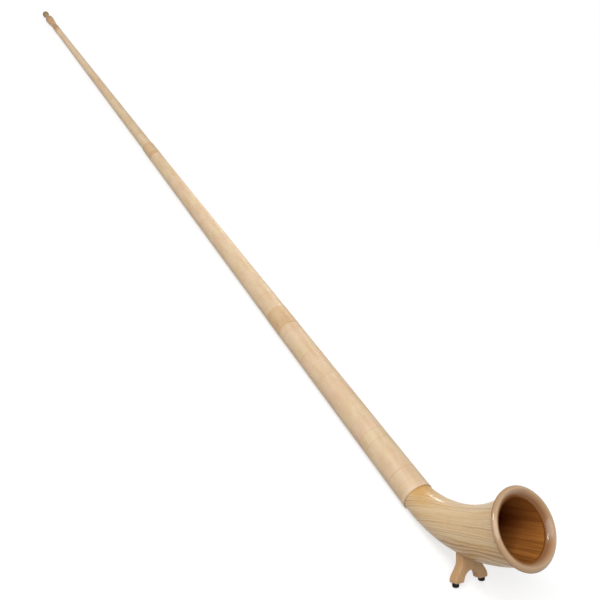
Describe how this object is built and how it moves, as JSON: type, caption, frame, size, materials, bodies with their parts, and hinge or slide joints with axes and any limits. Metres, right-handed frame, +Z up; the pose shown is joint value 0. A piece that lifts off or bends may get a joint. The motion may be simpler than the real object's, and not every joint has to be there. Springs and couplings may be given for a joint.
{
  "type": "alphorn",
  "caption": "Long wooden horn in three push-together sections, with a cane-wound tube, an upturned flared bell on a two-legged foot, and a cup mouthpiece.",
  "frame": {"origin": "on the floor under the middle of the whole horn's length, as it lies on its two rubber feet and its receiver", "axes": "+X along the horn towards the bell, +Z up, +Y to the horn's left"},
  "size_m": [3.435, 0.187, 0.2866],
  "materials": {
    "varnished_spruce": "clear varnish, satin gloss",
    "spruce_tube": "oiled bare wood",
    "rattan": "varnished cane winding",
    "brown_rattan": "varnished cane winding, browner",
    "beech": "satin varnish",
    "maple": "oiled, brown",
    "brass": "turned",
    "black_rubber": "moulded, matt",
    "steel": "zinc plated"
  },
  "bodies": {
    "bell_section": {"bell_left": "varnished_spruce", "bell_right": "varnished_spruce", "bell_rim": "beech", "foot_bracket": "beech", "foot_dowels": "beech", "rubber_foot_left": "black_rubber", "rubber_foot_right": "black_rubber", "foot_screws": "steel", "lower_tube_left": "spruce_tube", "lower_tube_right": "spruce_tube", "lower_winding": "rattan", "winding_end_ring": "rattan", "lower_socket": "brass", "lower_socket_binding": "brown_rattan"},
    "lower_seals": {"lower_joint_seals": "black_rubber"},
    "middle_section": {"lower_spigot": "brass", "middle_tube_left": "spruce_tube", "middle_tube_right": "spruce_tube", "middle_winding": "rattan", "upper_socket": "brass", "upper_socket_binding": "brown_rattan"},
    "upper_seals": {"upper_joint_seals": "black_rubber"},
    "upper_section": {"upper_spigot": "brass", "upper_tube_left": "spruce_tube", "upper_tube_right": "spruce_tube", "upper_winding": "rattan", "receiver": "maple", "receiver_collar": "maple"},
    "mouthpiece": {"mouthpiece": "maple"}
  },
  "joints": [
    {"name": "middle_pull", "type": "slide", "parent": "bell_section", "child": "lower_seals", "axis": [-1, 0, -0.0084], "range_m": [0, 0.08]},
    {"name": "middle_twist", "type": "hinge", "parent": "lower_seals", "child": "middle_section", "pos_m": [0.60849, 0, 0.03551], "axis": [-1, 0, -0.0084], "continuous": true},
    {"name": "upper_pull", "type": "slide", "parent": "middle_section", "child": "upper_seals", "axis": [-1, 0, -0.0084], "range_m": [0, 0.08]},
    {"name": "upper_twist", "type": "hinge", "parent": "upper_seals", "child": "upper_section", "pos_m": [-0.43148, 0, 0.02676], "axis": [-1, 0, -0.0084], "continuous": true},
    {"name": "mouthpiece_pull", "type": "slide", "parent": "upper_section", "child": "mouthpiece", "axis": [-1, 0, -0.0084], "range_m": [0, 0.06]}
  ]
}
